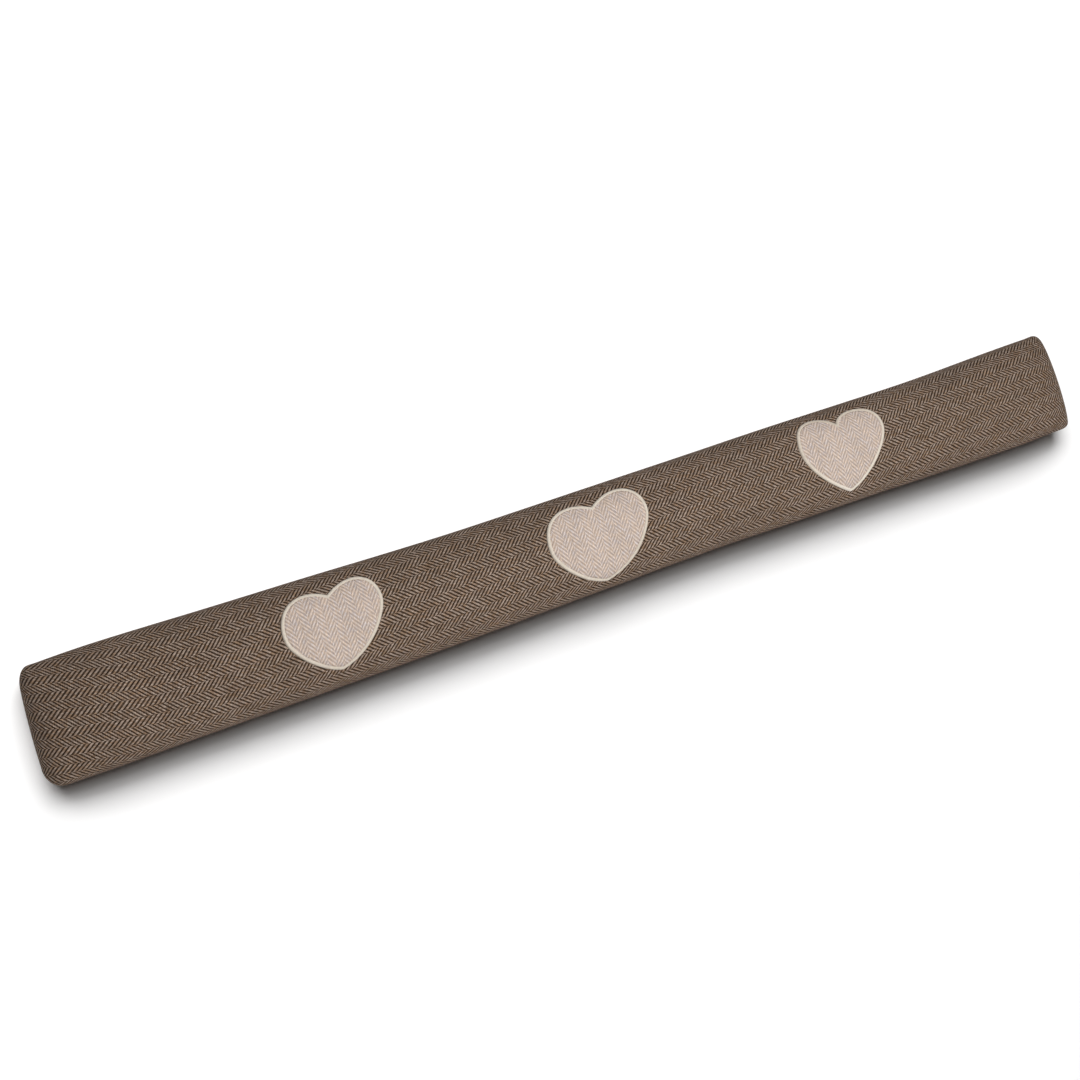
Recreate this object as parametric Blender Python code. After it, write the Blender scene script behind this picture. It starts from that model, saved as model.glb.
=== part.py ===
"""A draught excluder: one long stuffed cushion of tweed, lying on its back, with three sewn-on hearts.

The length runs along X, the hearts face up (+Z), and the front is the long side at -Y. The cushion is a loft of
flattened ovals whose underside is pressed flat on the surface. Each heart is a thin sheet that follows the cushion's
skin, and a raised border of close stitching runs round it.
"""
import math
from dataclasses import dataclass
from typing import NamedTuple

import bmesh
import bpy
from mathutils import Vector

# Driving dimensions, in metres
LENGTH = 1.200
MIDDLE_HEIGHT = 0.024
BELLY_DEPTH = 0.027
SEAM_HEIGHT = 0.020
SEAM_THICKNESS = 0.0032
SWELL_LENGTH = 0.062
SEAM_REACH = 0.120
PIECE_GAP = 0.00035
CLOTH_THICKNESS = 0.0012
BORDER_WIDTH = 0.0034
BORDER_RISE = 0.0018

# Roundness of the section: 2 is an ellipse, more is squarer
CROWN_POWER = 2.1
BELLY_POWER = 2.6
SWELL_POWER = 2.2


class Section(NamedTuple):
    """One section: its place, half width, crown above the widest line, and sway of its middle to the back."""

    at: float
    half_width: float
    crown: float
    sway: float


class Dent(NamedTuple):
    """A soft dent where the cloth tucks under along the front."""

    at: float
    depth: float
    half_length: float


class Heart(NamedTuple):
    """A heart: the place of its centre, its offset to the back, its sizes, and the sideways lean of its tip."""

    name: str
    at: float
    across: float
    width: float
    height: float
    lean: float


@dataclass(frozen=True)
class EndSeam:
    """The plan shape of one end: how the seam leans and bows, and its two rounded corners as (length, depth)."""

    lean: float
    bow: float
    front_corner: tuple
    back_corner: tuple


SECTIONS = (
    Section(0.000, 0.0600, 0.0330, 0.0010),
    Section(0.080, 0.0601, 0.0345, 0.0014),
    Section(0.210, 0.0584, 0.0355, 0.0003),
    Section(0.300, 0.0572, 0.0360, -0.0003),
    Section(0.380, 0.0558, 0.0360, -0.0011),
    Section(0.460, 0.0546, 0.0355, -0.0014),
    Section(0.550, 0.0537, 0.0360, -0.0006),
    Section(0.640, 0.0530, 0.0360, 0.0002),
    Section(0.730, 0.0524, 0.0355, 0.0008),
    Section(0.830, 0.0530, 0.0360, 0.0006),
    Section(0.920, 0.0529, 0.0360, 0.0000),
    Section(1.020, 0.0536, 0.0350, -0.0010),
    Section(1.120, 0.0552, 0.0345, 0.0000),
    Section(1.200, 0.0558, 0.0330, 0.0016),
)

DENTS = (
    Dent(0.150, 0.0010, 0.022),
    Dent(0.405, 0.0012, 0.020),
    Dent(0.463, 0.0016, 0.017),
    Dent(0.515, 0.0014, 0.016),
    Dent(0.566, 0.0015, 0.018),
    Dent(0.655, 0.0013, 0.020),
    Dent(0.760, 0.0010, 0.024),
    Dent(0.945, 0.0014, 0.018),
    Dent(1.010, 0.0012, 0.020),
)
DENT_TURN = math.radians(-32.0)
DENT_SPREAD = math.radians(24.0)

HEARTS = (
    Heart("left", 0.301, 0.0006, 0.108, 0.0875, 0.090),
    Heart("middle", 0.596, -0.0028, 0.1185, 0.0945, 0.090),
    Heart("right", 0.898, 0.0030, 0.107, 0.0920, 0.065),
)

LEFT_END = EndSeam(lean=0.0054, bow=0.0008, front_corner=(0.018, 0.018), back_corner=(0.009, 0.010))
RIGHT_END = EndSeam(lean=0.0000, bow=0.0052, front_corner=(0.034, 0.012), back_corner=(0.011, 0.012))

# Half of a heart as two curves, each with four control points, in shares of the half width and of the height
HEART_CURVES = (
    ((0.000, 0.397), (0.224, 0.534), (1.000, 0.556), (1.000, 0.130)),
    ((1.000, 0.130), (1.000, -0.115), (0.411, -0.352), (0.000, -0.500)),
)

# Fineness of the meshes
SECTION_SEGMENTS = 18
ROW_SPACING = 0.016
END_ROWS = (0.0, 0.0008, 0.0025, 0.005, 0.009, 0.014, 0.020, 0.027, 0.035, 0.044, 0.054, 0.066)
CURVE_STEPS = 14
HEART_RINGS = (1.0, 0.80, 0.58, 0.36, 0.16)
SKIN_STEPS = 60
PROBE = 0.0005

BROWN_TWEED = (0.162, 0.115, 0.089)
PALE_TWEED = (0.552, 0.451, 0.392)
IVORY_THREAD = (0.730, 0.665, 0.565)


def clear_scene():
    """Remove every object of the scene."""
    for existing in list(bpy.data.objects):
        bpy.data.objects.remove(existing, do_unlink=True)


def column(name, at):
    """Read one column of the section table at a place along the length, as a smooth curve through its rows."""
    places = [section.at for section in SECTIONS]
    values = [getattr(section, name) for section in SECTIONS]
    at = min(max(at, places[0]), places[-1])
    last = len(places) - 1
    low = max(i for i in range(last) if places[i] <= at)

    def slope(i):
        before = max(i - 1, 0)
        after = min(i + 1, last)
        return (values[after] - values[before]) / (places[after] - places[before])

    span = places[low + 1] - places[low]
    t = (at - places[low]) / span
    rise_0 = slope(low) * span
    rise_1 = slope(low + 1) * span
    return ((2 * t**3 - 3 * t**2 + 1) * values[low] + (t**3 - 2 * t**2 + t) * rise_0
            + (-2 * t**3 + 3 * t**2) * values[low + 1] + (t**3 - t**2) * rise_1)


def nearest_end(at):
    """Return the nearer end, the distance to it, and the sign of its outward direction along X."""
    if at < LENGTH / 2:
        return LEFT_END, at, -1.0
    return RIGHT_END, LENGTH - at, 1.0


def swell(distance):
    """Return how full the cushion is at a distance from its end seam, from 0 at the seam to 1."""
    if distance >= SWELL_LENGTH:
        return 1.0
    return (1.0 - (1.0 - distance / SWELL_LENGTH)**SWELL_POWER)**(1.0 / SWELL_POWER)


def corner_cut(distance, corner):
    """Return how far a rounded corner draws the side in at a distance from the end."""
    length, depth = corner
    if distance >= length:
        return 0.0
    return depth * (1.0 - math.sqrt(1.0 - (1.0 - distance / length)**2))


def dent_depth(at, turn):
    """Return how far the dents along the front draw the skin in at a place on it."""
    round_share = math.exp(-((turn - DENT_TURN) / DENT_SPREAD)**2)
    total = 0.0
    for dent in DENTS:
        total += dent.depth * math.exp(-((at - dent.at) / dent.half_length)**2)
    return total * round_share


def power_wave(value, power):
    """Return a sine or cosine bent so that the oval it draws has the given roundness."""
    return math.copysign(abs(value)**(2.0 / power), value)


def skin_point(at, turn):
    """Return the point of the cushion's skin at a place along the length and a turn round the section.

    The turn is 0 at the front edge, 90 degrees on the crown and 180 degrees at the back edge.
    """
    end, distance, outward = nearest_end(at)
    fullness = swell(distance)
    half_seam = SEAM_THICKNESS / 2
    toward_front = math.cos(turn)
    upward = math.sin(turn)
    corner = end.front_corner if toward_front > 0 else end.back_corner
    half_width = column("half_width", at) - corner_cut(distance, corner)
    above = upward >= 0
    power = CROWN_POWER if above else BELLY_POWER
    reach = column("crown", at) if above else BELLY_DEPTH
    reach = half_seam + (reach - half_seam) * fullness
    middle = SEAM_HEIGHT + (MIDDLE_HEIGHT - SEAM_HEIGHT) * fullness
    front_turn = turn if turn < math.pi else turn - 2 * math.pi
    draw_in = dent_depth(at, front_turn)
    across = power_wave(toward_front, power)
    y = column("sway", at) - half_width * across + draw_in
    z = middle + reach * power_wave(upward, power)
    fade = max(0.0, 1.0 - distance / SEAM_REACH)**2
    x = at - LENGTH / 2 + outward * fade * (end.lean * across - end.bow * across**2)
    return Vector((x, y, max(z, 0.0)))


def crown_point(at, arc):
    """Return the skin point that lies a distance along the cloth from the crown line, to the back if positive."""
    direction = 1.0 if arc > 0 else -1.0
    step = direction * math.pi / 2 / SKIN_STEPS
    turn = math.pi / 2
    here = skin_point(at, turn)
    left = abs(arc)
    while True:
        ahead = skin_point(at, turn + step)
        length = (ahead - here).length
        if length >= left:
            return here.lerp(ahead, left / length)
        left -= length
        here = ahead
        turn += step


def crown_frame(at, arc):
    """Return a point of the upper skin and the outward normal there."""
    point = crown_point(at, arc)
    along = crown_point(at + PROBE, arc) - crown_point(at - PROBE, arc)
    across = crown_point(at, arc + PROBE) - crown_point(at, arc - PROBE)
    return point, along.cross(across).normalized()


def row_places():
    """Return the places of the cushion's rows along its length, closer together near the end seams."""
    first = END_ROWS[-1]
    count = round((LENGTH - 2 * first) / ROW_SPACING)
    spacing = (LENGTH - 2 * first) / count
    middle = [first + spacing * i for i in range(1, count)]
    return list(END_ROWS) + middle + [LENGTH - d for d in reversed(END_ROWS)]


def curve_point(controls, t):
    """Return a point of a four-point Bezier curve."""
    weights = ((1 - t)**3, 3 * t * (1 - t)**2, 3 * t**2 * (1 - t), t**3)
    return Vector([sum(w * c[axis] for w, c in zip(weights, controls)) for axis in (0, 1)])


def heart_outline(width, height):
    """Return a heart's outline on flat cloth, counter-clockwise from the notch, tip at the bottom."""
    half = []
    for controls in HEART_CURVES:
        for i in range(CURVE_STEPS):
            half.append(curve_point(controls, i / CURVE_STEPS))
    half.append(Vector(HEART_CURVES[-1][-1]))
    right = [Vector((p.x * width / 2, p.y * height)) for p in half]
    left = [Vector((-p.x, p.y)) for p in right]
    return left + right[-2:0:-1]


def inset(outline, distance):
    """Move every corner of a closed outline inwards so that each side moves by the distance."""
    moved = []
    count = len(outline)
    for i, corner in enumerate(outline):
        before = (corner - outline[i - 1]).normalized()
        after = (outline[(i + 1) % count] - corner).normalized()
        inward = Vector((-before.y - after.y, before.x + after.x)).normalized()
        moved.append(corner + inward * distance / max(0.4, inward.dot(Vector((-before.y, before.x)))))
    return moved


def on_cushion(flat_point, heart, height):
    """Lay a point of a heart's flat cloth on the cushion, at a height above the skin."""
    sideways = flat_point.x + heart.lean * flat_point.y
    point, normal = crown_frame(heart.at + sideways, heart.across + flat_point.y)
    return point + normal * height


def cloth_material(name, colour, roughness):
    """Make a plain cloth material."""
    material = bpy.data.materials.new(name)
    material.use_nodes = True
    shader = material.node_tree.nodes["Principled BSDF"]
    shader.inputs["Base Color"].default_value = (*colour, 1.0)
    shader.inputs["Roughness"].default_value = roughness
    shader.inputs["Metallic"].default_value = 0.0
    return material


def add_piece(name, points, faces, material):
    """Make a closed mesh object from points and faces."""
    mesh = bpy.data.meshes.new(name)
    mesh.from_pydata(points, [], faces)
    shell = bmesh.new()
    shell.from_mesh(mesh)
    bmesh.ops.recalc_face_normals(shell, faces=shell.faces)
    bmesh.ops.triangulate(shell, faces=shell.faces)
    shell.to_mesh(mesh)
    shell.free()
    mesh.shade_smooth()
    mesh.materials.append(material)
    piece = bpy.data.objects.new(name, mesh)
    bpy.context.scene.collection.objects.link(piece)
    return piece


def build_cushion(material):
    """Loft the cushion through its sections and close it with a narrow seam face at each end."""
    places = row_places()
    around = 2 * SECTION_SEGMENTS
    points = []
    for at in places:
        for i in range(around):
            points.append(skin_point(at, math.pi * i / SECTION_SEGMENTS))
    faces = []
    for row in range(len(places) - 1):
        for i in range(around):
            j = (i + 1) % around
            near = row * around
            far = near + around
            faces.append((near + i, near + j, far + j, far + i))
    for start in (0, (len(places) - 1) * around):
        for i in range(SECTION_SEGMENTS):
            upper = (start + i, start + i + 1)
            lower = (start + (around - i - 1) % around, start + (around - i) % around)
            corners = list(dict.fromkeys((*upper, *lower)))
            faces.append(tuple(corners))
    return add_piece("cushion", points, faces, material)


def build_heart(heart, material):
    """Make one heart as a thin sheet laid on the cushion, inside its stitched border."""
    outline = inset(heart_outline(heart.width, heart.height), BORDER_WIDTH + PIECE_GAP)
    count = len(outline)
    points = []
    layers = (PIECE_GAP, PIECE_GAP + CLOTH_THICKNESS)
    for height in layers:
        for share in HEART_RINGS:
            for corner in outline:
                points.append(on_cushion(corner * share, heart, height))
        points.append(on_cushion(Vector((0.0, 0.0)), heart, height))
    layer_size = count * len(HEART_RINGS) + 1
    faces = []
    for layer in range(len(layers)):
        base = layer * layer_size
        for ring in range(len(HEART_RINGS) - 1):
            outer = base + ring * count
            inner = outer + count
            for i in range(count):
                j = (i + 1) % count
                faces.append((outer + i, outer + j, inner + j, inner + i))
        innermost = base + (len(HEART_RINGS) - 1) * count
        for i in range(count):
            faces.append((innermost + i, innermost + (i + 1) % count, base + layer_size - 1))
    for i in range(count):
        j = (i + 1) % count
        faces.append((i, j, layer_size + j, layer_size + i))
    return add_piece(f"heart_{heart.name}", points, faces, material)


def build_border(heart, material):
    """Make the raised band of stitching round one heart."""
    outline = heart_outline(heart.width, heart.height)
    profile = (
        (0.0, 0.0),
        (0.18 * BORDER_WIDTH, 0.72 * BORDER_RISE),
        (0.50 * BORDER_WIDTH, BORDER_RISE),
        (0.82 * BORDER_WIDTH, 0.72 * BORDER_RISE),
        (BORDER_WIDTH, 0.0),
    )
    count = len(outline)
    points = []
    for distance, rise in profile:
        for corner in inset(outline, distance):
            points.append(on_cushion(corner, heart, PIECE_GAP + rise))
    faces = []
    for ring in range(len(profile)):
        start = ring * count
        following = ((ring + 1) % len(profile)) * count
        for i in range(count):
            j = (i + 1) % count
            faces.append((start + i, start + j, following + j, following + i))
    return add_piece(f"border_{heart.name}", points, faces, material)


def centre_on_origin(pieces, leader):
    """Place all pieces alike, so that the leader's box is centred on the origin in plan."""
    xs = [v.co.x for v in leader.data.vertices]
    ys = [v.co.y for v in leader.data.vertices]
    shift = Vector((-(min(xs) + max(xs)) / 2, -(min(ys) + max(ys)) / 2, 0.0))
    for piece in pieces:
        piece.location = shift


def main():
    """Build the whole draught excluder."""
    clear_scene()
    tweed = cloth_material("brown_tweed", BROWN_TWEED, 0.9)
    pale = cloth_material("pale_tweed", PALE_TWEED, 0.9)
    thread = cloth_material("ivory_thread", IVORY_THREAD, 0.6)
    cushion = build_cushion(tweed)
    pieces = [cushion]
    for heart in HEARTS:
        pieces.append(build_heart(heart, pale))
        pieces.append(build_border(heart, thread))
    centre_on_origin(pieces, cushion)


if __name__ == "__main__":
    main()
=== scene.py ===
"""Looks of a draught excluder: a long stuffed cushion of herringbone tweed with three sewn-on hearts.

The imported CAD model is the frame. The cushion's cover is a fine grid on the same form, filled by a cloth
simulation. Each heart is a thin sheet of pale cloth laid on that cover, and Geometry Nodes sew its stitches.
"""
import logging
import math
from collections.abc import Callable
from dataclasses import dataclass, field
from enum import Enum
from typing import Any, NamedTuple, Union

import bmesh
import bpy
import numpy as np
from mathutils import Matrix, Vector
from mathutils.bvhtree import BVHTree


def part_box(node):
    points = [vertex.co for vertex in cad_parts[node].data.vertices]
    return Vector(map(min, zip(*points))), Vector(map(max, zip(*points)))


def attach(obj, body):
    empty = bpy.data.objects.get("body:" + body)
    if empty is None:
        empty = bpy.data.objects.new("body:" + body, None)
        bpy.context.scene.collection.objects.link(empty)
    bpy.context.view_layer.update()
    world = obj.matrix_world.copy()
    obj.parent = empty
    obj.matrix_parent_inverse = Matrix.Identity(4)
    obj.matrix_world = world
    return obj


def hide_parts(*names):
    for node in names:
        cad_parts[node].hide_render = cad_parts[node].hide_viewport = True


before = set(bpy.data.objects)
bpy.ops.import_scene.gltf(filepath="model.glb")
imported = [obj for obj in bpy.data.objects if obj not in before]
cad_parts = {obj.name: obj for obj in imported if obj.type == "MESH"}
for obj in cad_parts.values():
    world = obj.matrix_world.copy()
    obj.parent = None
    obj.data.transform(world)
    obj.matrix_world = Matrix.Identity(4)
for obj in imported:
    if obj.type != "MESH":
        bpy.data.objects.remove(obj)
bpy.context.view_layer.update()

LOG = logging.getLogger("draught_excluder")
CLOTH_LAYER = "cloth"

Colour = tuple[float, float, float]
Tints = tuple[Colour, Colour, Colour]
Number = Union[float, "Wire"]

WHITE: Colour = (1.0, 1.0, 1.0)


class Section(NamedTuple):
    """One section: its place, half width, crown above the widest line, and sway of its middle to the back."""

    at: float
    half_width: float
    crown: float
    sway: float


class Dent(NamedTuple):
    """A soft dent where the cloth tucks under along the front."""

    at: float
    depth: float
    half_length: float


class Drift(NamedTuple):
    """How far the weave's bands run to the front for each metre along the length, at one place."""

    at: float
    slope: float


class HeartShape(NamedTuple):
    """A heart's notch and its two sides, each two joined curves from the notch to the tip.

    A side lists the control points between them, as shares of the half width, outwards, and of the height.
    """

    notch: tuple[float, float]
    right: tuple[tuple[float, float], ...]
    left: tuple[tuple[float, float], ...]
    tip: tuple[float, float] = (0.0, -0.5)


class HeartPlace(NamedTuple):
    """A heart: the place of its centre, its offset to the back, its sizes, the sideways lean of its tip, its
    shape, and how much lighter its stitches are painted to the right and to the back: painted light on the
    side of the border that catches the light.
    """

    name: str
    at: float
    across: float
    width: float
    height: float
    lean: float
    shape: HeartShape
    painted_light_side: tuple[float, float]


class BandRun(Enum):
    """Which way the bands of a herringbone cloth run on its piece."""

    ALONG = "along"
    ACROSS = "across"


class EndSeam(NamedTuple):
    """The plan shape of one end: how its seam leans and bows, and its two corners as (length, depth)."""

    lean: float
    bow: float
    front_corner: tuple[float, float]
    back_corner: tuple[float, float]


class Mottle(NamedTuple):
    """A noise over the cloth: its scale and detail, the level it is cut at, and its gain and base."""

    scale: float
    detail: float
    level: float
    gain: float
    base: float


class FloorLight(NamedTuple):
    """A light of the floor: its name, the range of degrees from the vertical it spans, and its strength."""

    name: str
    low_angle: float
    high_angle: float
    strength: float


SECTIONS = (
    Section(0.000, 0.0600, 0.0330, 0.0010),
    Section(0.080, 0.0601, 0.0345, 0.0014),
    Section(0.210, 0.0584, 0.0355, 0.0003),
    Section(0.300, 0.0572, 0.0360, -0.0003),
    Section(0.380, 0.0558, 0.0360, -0.0011),
    Section(0.460, 0.0546, 0.0355, -0.0014),
    Section(0.550, 0.0537, 0.0360, -0.0006),
    Section(0.640, 0.0530, 0.0360, 0.0002),
    Section(0.730, 0.0524, 0.0355, 0.0008),
    Section(0.830, 0.0530, 0.0360, 0.0006),
    Section(0.920, 0.0529, 0.0360, 0.0000),
    Section(1.020, 0.0536, 0.0350, -0.0010),
    Section(1.120, 0.0552, 0.0345, 0.0000),
    Section(1.200, 0.0558, 0.0330, 0.0016),
)

DENTS = (
    Dent(0.150, 0.0010, 0.022),
    Dent(0.405, 0.0012, 0.020),
    Dent(0.463, 0.0016, 0.017),
    Dent(0.515, 0.0014, 0.016),
    Dent(0.566, 0.0015, 0.018),
    Dent(0.655, 0.0013, 0.020),
    Dent(0.760, 0.0010, 0.024),
    Dent(0.945, 0.0014, 0.018),
    Dent(1.010, 0.0012, 0.020),
)

DRIFTS = (
    Drift(0.000, 0.205),
    Drift(0.090, 0.185),
    Drift(0.115, 0.110),
    Drift(0.170, 0.000),
    Drift(0.245, -0.085),
    Drift(0.430, -0.050),
    Drift(0.500, -0.030),
    Drift(0.720, -0.050),
    Drift(0.850, -0.110),
    Drift(0.960, -0.160),
    Drift(1.010, -0.120),
    Drift(1.060, -0.050),
    Drift(1.120, -0.030),
    Drift(1.200, 0.050),
)

# The first two hearts bulge low on the left, and the third is more even
BULGING_HEART = HeartShape(
    notch=(0.000, 0.383),
    right=((0.650, 0.672), (1.043, 0.392), (1.000, 0.137), (0.983, 0.036), (0.694, -0.376)),
    left=((0.553, 0.613), (1.102, 0.372), (1.000, 0.021), (0.945, -0.170), (0.377, -0.449)),
)

EVEN_HEART = HeartShape(
    notch=(0.000, 0.345),
    right=((0.180, 0.570), (1.110, 0.500), (1.000, 0.116), (0.927, -0.073), (0.350, -0.438)),
    left=((0.300, 0.557), (0.929, 0.592), (1.000, 0.195), (1.051, -0.094), (0.410, -0.355)),
)

# The last pair of each heart paints its stitching lighter on one side, as painted light where the border
# catches the light
HEARTS = (
    HeartPlace("left", 0.3039, 0.0007, 0.1067, 0.0861, 0.095, BULGING_HEART, (0.0, 0.20)),
    HeartPlace("middle", 0.5989, -0.0024, 0.1165, 0.0913, 0.070, BULGING_HEART, (0.0, 0.20)),
    HeartPlace("right", 0.8981, 0.0020, 0.1059, 0.0908, 0.087, EVEN_HEART, (0.22, -0.55)),
)

LEFT_END = EndSeam(lean=0.0025, bow=0.0008, front_corner=(0.018, 0.020), back_corner=(0.0145, 0.024))
RIGHT_END = EndSeam(lean=-0.0005, bow=-0.0010, front_corner=(0.013, 0.0045), back_corner=(0.011, 0.0145))

# How the threads stray, the cloth's soft clouds, its fuzz, and the hairs of its relief
STRAY = Mottle(210.0, 2.0, 0.0, 0.55, -0.275)
CLOUD = Mottle(26.0, 3.0, 9.0, 0.30, 0.85)
FUZZ = Mottle(1500.0, 2.0, 3.0, 0.36, 0.82)
HAIR = Mottle(2600.0, 2.0, 7.0, 0.35, 0.0)

FILLING_SETTINGS = {
    "quality": 4,
    "mass": 0.2,
    "tension_stiffness": 12.0,
    "compression_stiffness": 12.0,
    "bending_stiffness": 0.4,
    "use_pressure": True,
    "uniform_pressure_force": 4.0,
}

FLOOR_LIGHTS = (
    FloorLight("back_light", 30.0, 54.5, 15.5),
    FloorLight("middle_light", 19.0, 57.0, 7.2),
    FloorLight("wide_light", 5.0, 57.0, 5.2),
)


def read_table(rows: tuple[Any, ...], column: str, at: np.ndarray) -> np.ndarray:
    """Read one column of a table as a smooth curve through its rows.

    Args:
        rows: The table, with its places rising.
        column: The column's name.
        at: The places to read.

    Returns:
        One value for each place that is read.
    """
    places = np.array([row.at for row in rows])
    values = np.array([getattr(row, column) for row in rows])
    at = np.clip(at, places[0], places[-1])
    last = len(places) - 1
    before = np.maximum(np.arange(last + 1) - 1, 0)
    after = np.minimum(np.arange(last + 1) + 1, last)
    slopes = (values[after] - values[before]) / (places[after] - places[before])
    low = np.clip(np.searchsorted(places, at, side="right") - 1, 0, last - 1)
    span = places[low + 1] - places[low]
    t = (at - places[low]) / span
    return ((2 * t**3 - 3 * t**2 + 1) * values[low] + (t**3 - 2 * t**2 + t) * slopes[low] * span
            + (-2 * t**3 + 3 * t**2) * values[low + 1] + (t**3 - t**2) * slopes[low + 1] * span)


def unit(vectors: np.ndarray) -> np.ndarray:
    """Return the vectors at length 1."""
    return vectors / np.maximum(np.linalg.norm(vectors, axis=-1, keepdims=True), 1e-12)


def line_distances(points: np.ndarray, axis: int) -> np.ndarray:
    """Measure how far each point lies along its line.

    Args:
        points: Lines of points, with their coordinates on the last axis.
        axis: The axis that runs along the lines.

    Returns:
        One distance for each point, 0 at the start of its line.
    """
    steps = np.linalg.norm(np.diff(points, axis=axis), axis=-1)
    start = np.zeros_like(np.take(steps, [0], axis=axis))
    return np.concatenate([start, np.cumsum(steps, axis=axis)], axis=axis)


def corner_cut(distance: np.ndarray, corner: tuple[float, float]) -> np.ndarray:
    """Return how far a rounded corner draws the side in at each distance from the end seam."""
    share = np.clip(1.0 - distance / corner[0], 0.0, 1.0)
    return corner[1] * (1.0 - np.sqrt(1.0 - share**2))


@dataclass(frozen=True)
class CushionForm:
    """The cushion's outer form, as a function of the place along it and the turn round its section."""

    length: float = 1.200
    middle_height: float = 0.024
    belly_depth: float = 0.027
    seam_height: float = 0.020
    seam_thickness: float = 0.0032
    swell_length: float = 0.062
    seam_reach: float = 0.120
    crown_power: float = 2.1
    belly_power: float = 2.6
    swell_power: float = 2.2
    dent_turn: float = math.radians(-32.0)
    dent_spread: float = math.radians(24.0)
    arc_steps: int = 80
    probe: float = 0.0005
    edge_steps: int = 601

    def skin(self, at: np.ndarray, turn: np.ndarray) -> np.ndarray:
        """Return points of the skin.

        Args:
            at: Places along the length.
            turn: Turns round the section: 0 at the front edge, a quarter turn on the crown.

        Returns:
            The points, with X, Y and Z on the last axis.
        """
        at, turn = np.broadcast_arrays(np.asarray(at, float), np.asarray(turn, float))
        left = at < self.length / 2
        distance = np.where(left, at, self.length - at)
        outward = np.where(left, -1.0, 1.0)
        emptiness = np.clip(1.0 - distance / self.swell_length, 0.0, 1.0)
        fullness = (1.0 - emptiness**self.swell_power)**(1.0 / self.swell_power)
        cosine, sine = np.cos(turn), np.sin(turn)
        cut = np.zeros_like(distance)
        for end, here in ((LEFT_END, left), (RIGHT_END, ~left)):
            for corner, side in ((end.front_corner, cosine > 0), (end.back_corner, cosine <= 0)):
                cut = np.where(here & side, corner_cut(distance, corner), cut)
        half_width = read_table(SECTIONS, "half_width", at) - cut
        above = sine >= 0
        power = np.where(above, self.crown_power, self.belly_power)
        half_seam = self.seam_thickness / 2
        reach = np.where(above, read_table(SECTIONS, "crown", at), self.belly_depth)
        reach = half_seam + (reach - half_seam) * fullness
        middle = self.seam_height + (self.middle_height - self.seam_height) * fullness
        across = np.sign(cosine) * np.abs(cosine)**(2.0 / power)
        upward = np.sign(sine) * np.abs(sine)**(2.0 / power)
        y = read_table(SECTIONS, "sway", at) - half_width * across + self.dents(at, turn)
        z = np.maximum(middle + reach * upward, 0.0)
        fade = np.clip(1.0 - distance / self.seam_reach, 0.0, 1.0)**2
        lean = np.where(left, LEFT_END.lean, RIGHT_END.lean)
        bow = np.where(left, LEFT_END.bow, RIGHT_END.bow)
        x = at - self.length / 2 + outward * fade * (lean * across - bow * across**2)
        return np.stack([x, y, z], axis=-1)

    def dents(self, at: np.ndarray, turn: np.ndarray) -> np.ndarray:
        """Work out how far the dents along the front draw the skin in.

        Args:
            at: Places along the length.
            turn: Turns round the section.

        Returns:
            One depth for each point.
        """
        near_front = (turn + math.pi) % (2 * math.pi) - math.pi
        total = sum(dent.depth * np.exp(-((at - dent.at) / dent.half_length)**2) for dent in DENTS)
        return total * np.exp(-((near_front - self.dent_turn) / self.dent_spread)**2)

    def on_crown(self, at: np.ndarray, arc: np.ndarray) -> np.ndarray:
        """Return skin points that lie a distance along the cloth from the crown line.

        Args:
            at: Places along the length.
            arc: Distances from the crown line, to the back where positive.

        Returns:
            The points.
        """
        direction = np.where(arc > 0, 1.0, -1.0)
        steps = np.linspace(0.0, math.pi / 2, self.arc_steps + 1)
        line = self.skin(at[:, None], math.pi / 2 + direction[:, None] * steps)
        reached = line_distances(line, axis=1)
        wanted = np.abs(arc)
        low = np.clip((reached <= wanted[:, None]).sum(axis=1) - 1, 0, self.arc_steps - 1)
        rows = np.arange(len(at))
        share = (wanted - reached[rows, low]) / (reached[rows, low + 1] - reached[rows, low])
        return line[rows, low] + (line[rows, low + 1] - line[rows, low]) * share[:, None]

    def crown_frames(self, at: np.ndarray, arc: np.ndarray) -> tuple[np.ndarray, np.ndarray]:
        """Return skin points and their outward normals.

        Args:
            at: Places along the length.
            arc: Distances from the crown line, to the back where positive.

        Returns:
            The points and the normals.
        """
        along = self.on_crown(at + self.probe, arc) - self.on_crown(at - self.probe, arc)
        across = self.on_crown(at, arc + self.probe) - self.on_crown(at, arc - self.probe)
        return self.on_crown(at, arc), unit(np.cross(along, across))

    def place_in_frame(self) -> np.ndarray:
        """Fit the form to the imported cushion.

        Returns:
            The shift that brings the form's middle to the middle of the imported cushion.
        """
        low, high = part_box("cushion")
        at = np.linspace(0.0, self.length, self.edge_steps)
        edges = np.concatenate([self.skin(at, np.zeros_like(at)), self.skin(at, np.full_like(at, math.pi))])
        middle = (edges.min(axis=0) + edges.max(axis=0)) / 2
        return np.array([(low.x + high.x) / 2 - middle[0], (low.y + high.y) / 2 - middle[1], 0.0])


def math_operator(operation: str, swapped: bool = False) -> Callable[["Wire", Number], "Wire"]:
    """Make an operator that adds one Math node.

    Args:
        operation: The node's operation.
        swapped: Whether the other value comes first.

    Returns:
        The operator, for use as a method of a wire.
    """
    def operate(wire: "Wire", other: Number) -> "Wire":
        """Return the node's result."""
        return wire.maker.maths(operation, *((other, wire) if swapped else (wire, other)))

    return operate


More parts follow.
